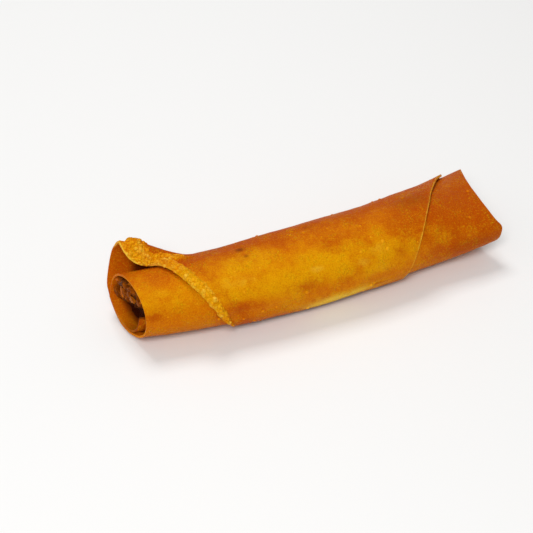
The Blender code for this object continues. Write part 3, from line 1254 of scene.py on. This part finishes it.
        # Painted shadow beside the flap's right edge, on the turn below, partly a browned line
        under = marks.under_flap - marks.under_flap_loss * eased(around, 55.0, 50.0)
        under = under * hump(x - shape.right_edge(angle + 360.0), 0.0016)
        under = under * eased(angle, -325.0, 10.0) * (1.0 - last_turn)
        tints[Tint.SPOT] = np.maximum(tints[Tint.SPOT], under)

        # Pale rims along the edges: partly the edges' own paleness, partly painted highlight where
        # the edges catch light
        outward = shape.right_edge(angle) - x
        loose = eased(angle, 30.0, 10.0)
        lip = loose * (1.0 - eased(angle, 70.0, 20.0))
        past_tuck = eased(angle, -470.0, 20.0)
        rims = (marks.left_rim + marks.lip_rim * lip) * past_tuck * hump(inward, 0.0007)
        rims = rims + (marks.right_rim + marks.loose_rim * loose) * hump(outward, 0.0008)
        tints[Tint.PALE] = np.clip(tints[Tint.PALE] + rims, 0.0, marks.palest)
        return tints

    def masks(self, x: Array, angle: Array, inward: Array) -> dict[str, Array]:
        """Work out the sheet's attributes.

        Args:
            x: places along the roll.
            angle: angles along the sheet.
            inward: distances from the left edge.

        Returns:
            The value of each named attribute at each place.
        """
        shape, marks = self.shape, self.marks
        band = shape.band(x, angle)
        outward = shape.right_edge(angle) - x
        covered = (angle < -130.0) & (inward > 0.030) & (outward > 0.060)
        hidden = eased(shape.collar_angle - 356.0 - angle, 0.0, 6.0)
        above_floor = eased(np.abs(turn_from(angle % 360.0, 270.0)), 25.0, 20.0)
        # Painted shade inside the roll, growing away from the mouth, and on the tucked inner end
        from_edge = inward - 0.0020 - 0.0053 * eased(angle, -25.0, 30.0)
        deep = eased(from_edge, 0.0, 0.0045) * eased(outward, 0.003, 0.006)
        inner_end = 1.0 - eased(angle, -520.0, 130.0)
        off_edges = inward * outward > 2e-5
        plain = marks.plain_bubbles * off_edges * above_floor * (1.0 - hidden) * ~covered
        blistered = band * eased(inward, 0.0, 0.0008) * eased(shape.end - angle, 0.0, 14.0)
        tints = self.tints(x, angle, inward, band)
        return {
            **{tint.value: value for tint, value in tints.items()},
            "band": band,
            "shown": (1.0 - hidden) * np.where(covered, marks.covered_relief, 1.0),
            "deep": np.maximum(deep, marks.inner_end_shade * inner_end),
            "bubbly": plain + blistered,
        }

    def surface(self) -> bpy.types.Mesh:
        """Make the sheet's middle surface.

        Returns:
            The surface, with its attributes.
        """
        x, angle, inward = self.grid()
        angle = self.shape.trimmed(x, angle)
        rows, columns = x.shape
        points = self.shape.point(x, angle, self.folds)
        index = np.arange(rows * columns).reshape(rows, columns)
        corners = [index[:-1, :-1], index[1:, :-1], index[1:, 1:], index[:-1, 1:]]
        faces = np.stack([c.ravel() for c in corners], axis=1)
        mesh = bpy.data.meshes.new("sheet_surface")
        mesh.from_pydata(points.reshape(-1, 3).tolist(), [], faces.tolist())
        for name, value in self.masks(x, angle, inward).items():
            layer = mesh.attributes.new(name, "FLOAT", "POINT")
            layer.data.foreach_set("value", value.ravel().astype(np.float32))
        return mesh

    def build(self, outside: bpy.types.Material, inside: bpy.types.Material,
              rim: bpy.types.Material, blister: bpy.types.Material) -> None:
        """Make the sheet and its bubbles.

        Args:
            outside: finish of its outer side.
            inside: finish of its inner side.
            rim: finish of its cut edges.
            blister: finish of the bubbles.
        """
        # Crest Paleness: blister tops drawn paler, partly painted highlight
        surface = grown("raised_sheet", self.surface(), relief_tree(), {
            "Blister Size": 0.0017, "Blister Height": 0.00075, "Ripple Size": 0.006,
            "Ripple Height": 0.00050, "Crest Paleness": 0.72, "Seed": 3.0, "Material": outside,
        })
        bubbles = grown("bubbles", surface, bubble_tree(), {
            "Density": 1500000.0, "Smallest": 0.00040, "Largest": 0.0017, "Flatness": 0.6,
            "Lift": self.shape.thickness * self.bubble_lift, "Seed": 11, "Material": blister,
        })
        surface.materials.clear()
        for finish in (outside, inside, rim):
            surface.materials.append(finish)
        host = bpy.data.objects.new("sheet_host", surface)
        bpy.context.scene.collection.objects.link(host)
        wall = host.modifiers.new("thickness", "SOLIDIFY")
        wall.thickness = self.shape.thickness
        wall.offset = 0.0
        wall.material_offset = 1
        wall.material_offset_rim = 2
        sheet = evaluated(host, "pastry_sheet")
        bpy.data.objects.remove(host)
        sheet.shade_smooth()
        sheet.set_sharp_from_angle(angle=math.radians(self.sharp_angle))
        fit_piece("pastry_sheet", sheet, "wrapper")
        fit_piece("pastry_bubbles", bubbles, "wrapper")


@dataclass(frozen=True)
class Shreds:
    """One kind of loose bit in the filling.

    Args:
        name: the piece's name.
        finish: its finish.
        density: bits to a square metre.
        length, width, thickness: size of a bit.
        bow: how far its middle stands up.
        seed: for the random draw.
    """

    name: str
    finish: Morsel
    density: float
    length: float
    width: float
    thickness: float
    bow: float
    seed: int

    def strewn(self, ground: bpy.types.Mesh, tree: bpy.types.NodeTree) -> bpy.types.Mesh:
        """Strew the bits over a surface.

        Args:
            ground: the surface.
            tree: the shreds' tree.

        Returns:
            The bits.
        """
        return grown(self.name, ground, tree, {
            "Density": self.density, "Length": self.length, "Width": self.width,
            "Thickness": self.thickness, "Bow": self.bow, "Seed": self.seed,
            "Material": self.finish.material(),
        })


@dataclass
class Filling:
    """The cooked filling: a core that runs through the roll, with loose bits at both mouths."""

    shape: SheetShape = field(default_factory=SheetShape)
    right: float = 0.0640
    face: float = -0.0776
    face_slant: float = 0.15
    wall: float = 0.0033
    hollow_depth: float = 0.0026
    hollow_edge: tuple[float, float] = (0.0100, 0.0085)
    hollow_normal: tuple[float, float] = (0.470, 0.883)
    hollow_shade: tuple[float, float] = (0.0008, 0.0030)
    hollow_bare: tuple[float, float] = (0.0030, 0.0015)
    proud: float = 0.0016
    cap_ring: float = 0.75
    cap_fade: float = 0.05
    flat_ring: float = 0.7
    end_share: float = 0.5
    lumps: tuple[tuple[float, float], ...] = ((0.0016, 300.0), (0.0008, 700.0))
    press_from: float = 0.9
    press_room: float = 0.1
    segments: int = 128
    rings: int = 150
    kinds: list[Shreds] = field(default_factory=lambda: [
        Shreds(
            name="cabbage_shreds",
            finish=Morsel(
                name="cabbage", dark=(0.25, 0.055, 0.002), light=(0.46, 0.135, 0.005),
                roughness=0.42, scale=300.0, relief=0.0003,
            ),
            density=30000.0, length=0.0042, width=0.0032, thickness=0.0014, bow=0.0010, seed=7,
        ),
        Shreds(
            name="carrot_shreds",
            finish=Morsel(
                name="carrot", dark=(0.42, 0.085, 0.003), light=(0.58, 0.15, 0.006),
                roughness=0.40, scale=300.0, relief=0.0002,
            ),
            density=20000.0, length=0.0038, width=0.0018, thickness=0.0015, bow=0.0005, seed=10,
        ),
        Shreds(
            name="mushroom_shreds",
            finish=Morsel(
                name="mushroom", dark=(0.055, 0.012, 0.002), light=(0.14, 0.036, 0.005),
                roughness=0.45, scale=420.0, relief=0.0003,
            ),
            density=26000.0, length=0.0040, width=0.0022, thickness=0.0011, bow=0.0006, seed=15,
        ),
        Shreds(
            name="meat_crumbs",
            finish=Morsel(
                name="meat", dark=(0.15, 0.028, 0.001), light=(0.34, 0.080, 0.003),
                roughness=0.48, scale=700.0, relief=0.0005,
            ),
            density=120000.0, length=0.0034, width=0.0030, thickness=0.0027, bow=0.0003, seed=22,
        ),
    ])
    mash: Morsel = Morsel(
        name="filling_mash", dark=(0.06, 0.012, 0.001), light=(0.22, 0.055, 0.003),
        roughness=0.5, scale=500.0, relief=0.0008,
    )

    def cavity(self, x: Array) -> tuple[Array, Array, Array, float]:
        """Room inside the sheet.

        Args:
            x: places along the roll, before it is centred.

        Returns:
            Half width, half height, sideways place and height of the axis.
        """
        half_width, half_height, sideways = self.shape.section(x)
        across = sideways - self.shape.sideways
        return half_width - self.wall, half_height - self.wall, across, self.shape.axis_height

    def above_hollow(self, y: Array, z: Array) -> Array:
        """Measure from the hollow in the filling's left face.

        Args:
            y: places across the face.
            z: their heights.

        Returns:
            How far each is above the hollow.
        """
        above = (y - self.hollow_edge[0]) * self.hollow_normal[0]
        return above + (z - self.hollow_edge[1]) * self.hollow_normal[1]

    def ball(self) -> tuple[Array, list[list[int]]]:
        """Unit ball with its poles on Z.

        Returns:
            Its points, and its faces, which point outwards.
        """
        down = np.arange(1, self.rings)[:, None] * math.pi / self.rings
        turn = np.arange(self.segments)[None, :] * 2.0 * math.pi / self.segments
        level = np.broadcast_to(np.cos(down), (self.rings - 1, self.segments))
        rows = np.stack([np.sin(down) * np.cos(turn), np.sin(down) * np.sin(turn), level], axis=-1)
        points = np.vstack([[[0.0, 0.0, 1.0]], rows.reshape(-1, 3), [[0.0, 0.0, -1.0]]])
        index = 1 + np.arange(level.size).reshape(level.shape)
        after = np.roll(index, -1, axis=1)
        corners = [index[:-1], index[1:], after[1:], after[:-1]]
        faces = np.stack(corners, axis=-1).reshape(-1, 4).tolist()
        faces += [[0, a, b] for a, b in zip(index[0].tolist(), after[0].tolist())]
        last = len(points) - 1
        faces += [[last, b, a] for a, b in zip(index[-1].tolist(), after[-1].tolist())]
        return points, faces

    def core(self, finish: bpy.types.Material) -> bpy.types.Mesh:
        """Make the core that fills the roll, lumpy where it shows.

        Args:
            finish: its finish.

        Returns:
            The core.
        """
        unit, faces = self.ball()
        across, up, along = unit.T
        ring = np.clip(np.hypot(across, up), 0.0, 1.0)
        turn = np.arctan2(up, across)
        spread = np.sign(along) * np.abs(along) ** 2.0
        cap = smooth((self.cap_ring - ring) / self.cap_fade)
        blunt = np.where(ring < self.flat_ring, ring / self.flat_ring, 1.0)
        to_right = np.clip(spread / self.end_share, 0.0, 1.0)
        to_left = np.clip(-spread / self.end_share, 0.0, 1.0)
        x = self.right * to_right + self.face * to_left
        wide, tall, sideways, height = self.cavity(x)
        y = sideways + blunt * wide * self.shape.rounded(np.cos(turn))
        z = height + blunt * tall * self.shape.rounded(np.sin(turn))
        share = to_left**2
        above = self.above_hollow(y, z)
        deep = smooth((self.hollow_shade[0] - above) / self.hollow_shade[1])
        x = x + share * (self.hollow_depth * deep - self.face_slant * y)
        bare = smooth((self.hollow_bare[0] - above) / self.hollow_bare[1])
        open_to = 1.0 - share * bare
        points = np.stack([x - self.shape.middle, y, z], axis=1)
        lumps = np.array([
            sum(size * noise.noise(Vector(p) * count) for size, count in self.lumps)
            for p in points
        ])
        points[:, 0] += np.sign(along) * cap * lumps
        inward = np.abs(lumps) * (1.0 - cap)
        points[:, 1] -= inward * np.cos(turn)
        points[:, 2] -= inward * np.sin(turn)
        mesh = bpy.data.meshes.new("filling_core")
        mesh.from_pydata(points.tolist(), [], faces)
        for name, value in (("open", cap * open_to), ("deep", share * cap * deep)):
            layer = mesh.attributes.new(name, "FLOAT", "POINT")
            layer.data.foreach_set("value", value.astype(np.float32))
        mesh.materials.append(finish)
        mesh.shade_smooth()
        mesh.update()
        return mesh

    def confine(self, mesh: bpy.types.Mesh) -> None:
        """Press what would stand through the sheet, or out of the mouth, back inside.

        Args:
            mesh: the bits, which are moved.
        """
        flat = np.empty(len(mesh.vertices) * 3)
        mesh.vertices.foreach_get("co", flat)
        points = flat.reshape(-1, 3)
        wide, tall, sideways, height = self.cavity(points[:, 0] + self.shape.middle)
        y, z = points[:, 1] - sideways, points[:, 2] - height
        power = self.shape.power
        size = (np.abs(y / wide) ** power + np.abs(z / tall) ** power) ** (1.0 / power)
        over = np.tanh((size - self.press_from) / self.press_room)
        pressed = (self.press_from + self.press_room * over) / size
        press = np.where(size > self.press_from, pressed, 1.0)
        points[:, 1] = sideways + y * press
        points[:, 2] = height + z * press
        outermost = self.face - self.face_slant * points[:, 1] - self.proud - self.shape.middle
        points[:, 0] = np.maximum(points[:, 0], outermost)
        mesh.vertices.foreach_set("co", points.ravel())
        mesh.update()

    def build(self) -> None:
        """Make the core and each kind of loose bit."""
        core = self.core(self.mash.material())
        tree = shred_tree()
        for kind in self.kinds:
            bits = kind.strewn(core, tree)
            self.confine(bits)
            fit_piece(kind.name, bits, "filling")
        fit_piece("filling_core", core, "filling")


@dataclass(frozen=True)
class Lamp:
    """Square soft light that looks at the roll.

    Args:
        name: its name.
        place: where it stands.
        size: the length of its side.
        power: its power in watts.
    """

    name: str
    place: tuple[float, float, float]
    size: float
    power: float

    def build(self) -> None:
        """Hang the lamp."""
        light = bpy.data.lights.new(self.name, "AREA")
        light.size = self.size
        light.energy = self.power
        lamp = bpy.data.objects.new(self.name, light)
        lamp.location = self.place
        lamp.rotation_euler = (-Vector(self.place)).to_track_quat("-Z", "Y").to_euler()
        bpy.context.scene.collection.objects.link(lamp)


@dataclass
class Studio:
    """Pale floor, soft lights and the camera."""

    azimuth: float = -24.0
    elevation: float = 41.0
    distance: float = 0.676
    aim: tuple[float, float, float] = (-0.0194, 0.0006, 0.0131)
    focal_length: float = 112.9
    sensor_width: float = 36.0
    floor_size: float = 6.0
    floor_colour: Colour = (0.88, 0.875, 0.865)
    floor_roughness: float = 0.7
    sky_strength: float = 0.33
    lamps: tuple[Lamp, ...] = (
        Lamp(name="key", place=(-0.42, -0.66, 0.95), size=0.45, power=8.2),
        Lamp(name="back", place=(0.00, 0.50, 0.95), size=0.40, power=4.6),
    )

    def floor(self) -> None:
        """Wide pale floor."""
        bpy.ops.mesh.primitive_plane_add(size=self.floor_size)
        plane = bpy.context.object
        plane.name = "floor"
        finish = bpy.data.materials.new("floor")
        finish.use_nodes = True
        shader = finish.node_tree.nodes["Principled BSDF"]
        shader.inputs["Base Color"].default_value = (*self.floor_colour, 1.0)
        shader.inputs["Roughness"].default_value = self.floor_roughness
        plane.data.materials.append(finish)

    def camera(self) -> None:
        """Camera that looks down on the roll from its front left."""
        turn, tilt = math.radians(self.azimuth), math.radians(self.elevation)
        back = Vector((
            math.sin(turn) * math.cos(tilt), -math.cos(turn) * math.cos(tilt), math.sin(tilt),
        ))
        data = bpy.data.cameras.new("camera")
        data.lens = self.focal_length
        data.sensor_width = self.sensor_width
        data.clip_start = 0.01
        camera = bpy.data.objects.new("camera", data)
        camera.location = Vector(self.aim) + back * self.distance
        camera.rotation_euler = (-back).to_track_quat("-Z", "Y").to_euler()
        bpy.context.scene.collection.objects.link(camera)
        bpy.context.scene.camera = camera

    def build(self) -> None:
        """Set the stage."""
        self.floor()
        for lamp in self.lamps:
            lamp.build()
        world = bpy.data.worlds.new("world")
        world.use_nodes = True
        backdrop = world.node_tree.nodes["Background"]
        backdrop.inputs["Color"].default_value = (1.0, 1.0, 1.0, 1.0)
        backdrop.inputs["Strength"].default_value = self.sky_strength
        bpy.context.scene.world = world
        bpy.context.scene.view_settings.view_transform = "Standard"
        self.camera()


def main() -> None:
    """Build the stage and the roll."""
    logging.basicConfig(level=logging.INFO)
    Studio().build()
    relief, browning = blister_group(), browning_group()
    outside = Crust(
        name="crust_outside", amber=(0.61, 0.155, 0.0006), golden=(0.72, 0.308, 0.0008),
        russet=(0.45, 0.066, 0.0006), straw=(0.88, 0.56, 0.045), roughness=0.50, relief=0.00060,
    )
    inside = Crust(
        name="crust_inside", amber=(0.70, 0.185, 0.0012), golden=(0.74, 0.24, 0.002),
        russet=(0.50, 0.085, 0.001), straw=(0.82, 0.40, 0.02), roughness=0.60, relief=0.00030,
        blister_scale=700.0, shade_within=0.9,
    )
    # Cut edges: lighter shades, partly their own colour, partly painted highlight
    rim = Crust(
        name="crust_rim", amber=(0.70, 0.205, 0.004), golden=(0.78, 0.28, 0.006),
        russet=(0.62, 0.140, 0.003), straw=(0.92, 0.46, 0.04), roughness=0.62, relief=0.00030,
        blister_scale=1100.0, shade_within=0.9,
    )
    # Bubbles: lighter shades, partly painted highlight on their tops
    blister = Crust(
        name="crust_blister", amber=(0.72, 0.250, 0.003), golden=(0.80, 0.360, 0.005),
        russet=(0.62, 0.15, 0.002), straw=(1.00, 0.72, 0.10), roughness=0.40, relief=0.00020,
        blister_scale=1500.0,
    )
    finishes = (outside, inside, rim, blister)
    Wrapper().build(*(finish.material(relief, browning) for finish in finishes))
    Filling().build()


if __name__ == "__main__":
    main()
